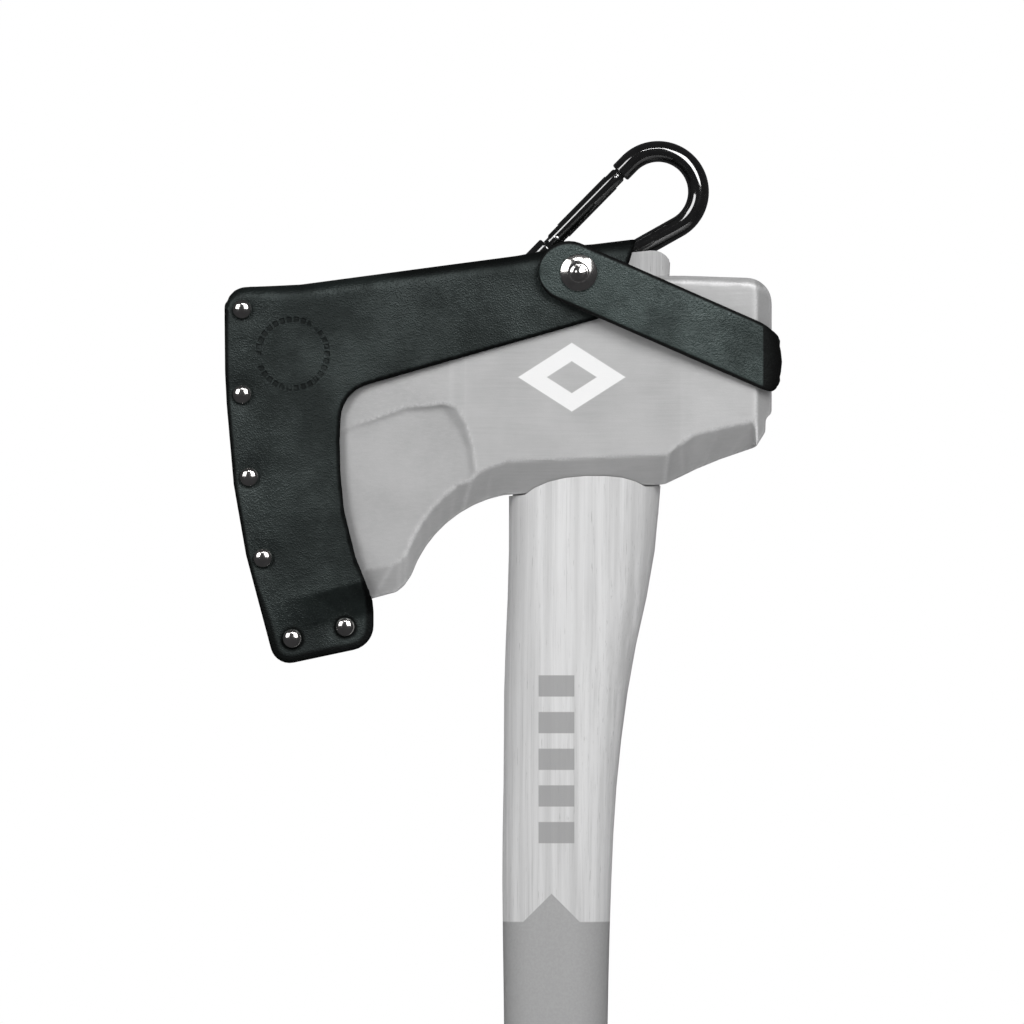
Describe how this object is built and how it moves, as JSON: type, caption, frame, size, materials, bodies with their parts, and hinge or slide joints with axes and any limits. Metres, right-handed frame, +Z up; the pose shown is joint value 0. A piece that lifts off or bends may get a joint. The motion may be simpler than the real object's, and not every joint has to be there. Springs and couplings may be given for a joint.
{
  "type": "felling axe",
  "caption": "Felling axe with a bearded head on a straight wooden haft, its bit covered by a riveted leather sheath with a snap strap round the poll and a carabiner.",
  "frame": {"origin": "centre of the flat butt at the lower end of the haft", "axes": "+Z up along the haft to the head, +X from the haft to the poll, so the cutting edge faces -X; the snap is on the -Y side and the carabiner on the +Y side"},
  "size_m": [0.2005, 0.0712, 0.7393],
  "materials": {
    "head_steel": "satin pale grey",
    "haft_wood": "smooth oiled, pale grey, with a painted lower end",
    "wedge_wood": "raw",
    "wedge_steel": "plain",
    "sheath_leather": "waxed, dark green black",
    "welt_leather": "cut edges, dark",
    "strap_leather": "waxed, dark green black",
    "loop_leather": "waxed, dark green black",
    "chrome": "polished",
    "carabiner_black": "gloss black",
    "pin_steel": "bright",
    "spring_steel": "drawn wire"
  },
  "bodies": {
    "axe": {"head": "head_steel", "haft": "haft_wood", "wood_wedge": "wedge_wood", "steel_wedge_front": "wedge_steel", "steel_wedge_rear": "wedge_steel", "sheath_leather": "sheath_leather", "welt_front": "welt_leather", "welt_bottom": "welt_leather", "rivet_1": "chrome", "rivet_back_1": "chrome", "rivet_2": "chrome", "rivet_back_2": "chrome", "rivet_3": "chrome", "rivet_back_3": "chrome", "rivet_4": "chrome", "rivet_back_4": "chrome", "rivet_5": "chrome", "rivet_back_5": "chrome", "rivet_6": "chrome", "rivet_back_6": "chrome", "snap_post": "chrome", "snap_stud": "chrome", "strap_rivet": "chrome", "strap_rivet_back": "chrome", "strap_far": "strap_leather", "hang_loop": "loop_leather", "hang_rivet": "chrome", "hang_rivet_back": "chrome"},
    "strap_middle": {"strap_back": "strap_leather"},
    "strap_end": {"strap_near": "strap_leather", "snap_cap": "chrome", "snap_socket": "chrome"},
    "carabiner": {"carabiner_body": "carabiner_black", "gate_pin": "pin_steel"},
    "gate": {"carabiner_gate": "carabiner_black", "latch_pin": "pin_steel", "gate_plunger": "pin_steel", "gate_spring": "spring_steel"}
  },
  "joints": [
    {"name": "strap_far_bend", "type": "hinge", "parent": "axe", "child": "strap_middle", "pos_m": [0.07857, 0.01967, 0.6597], "axis": [0, 0, 1], "range_deg": [0, 90]},
    {"name": "strap_near_bend", "type": "hinge", "parent": "strap_middle", "child": "strap_end", "pos_m": [0.07857, -0.01967, 0.6597], "axis": [0, 0, 1], "range_deg": [0, 90]},
    {"name": "carabiner_swing", "type": "hinge", "parent": "axe", "child": "carabiner", "pos_m": [-0.0031, 0.0315, 0.6903], "axis": [0, 1, 0], "range_deg": [-100, 100]},
    {"name": "gate_hinge", "type": "hinge", "parent": "carabiner", "child": "gate", "pos_m": [0.0001, 0.0315, 0.70426], "axis": [0, 1, 0], "range_deg": [0, 30], "stiffness_Nm_per_rad": 0.2, "springref_deg": -8.59}
  ],
  "couplings": [
    {"joint": "strap_near_bend", "follows": "strap_far_bend", "ratio": 1}
  ]
}
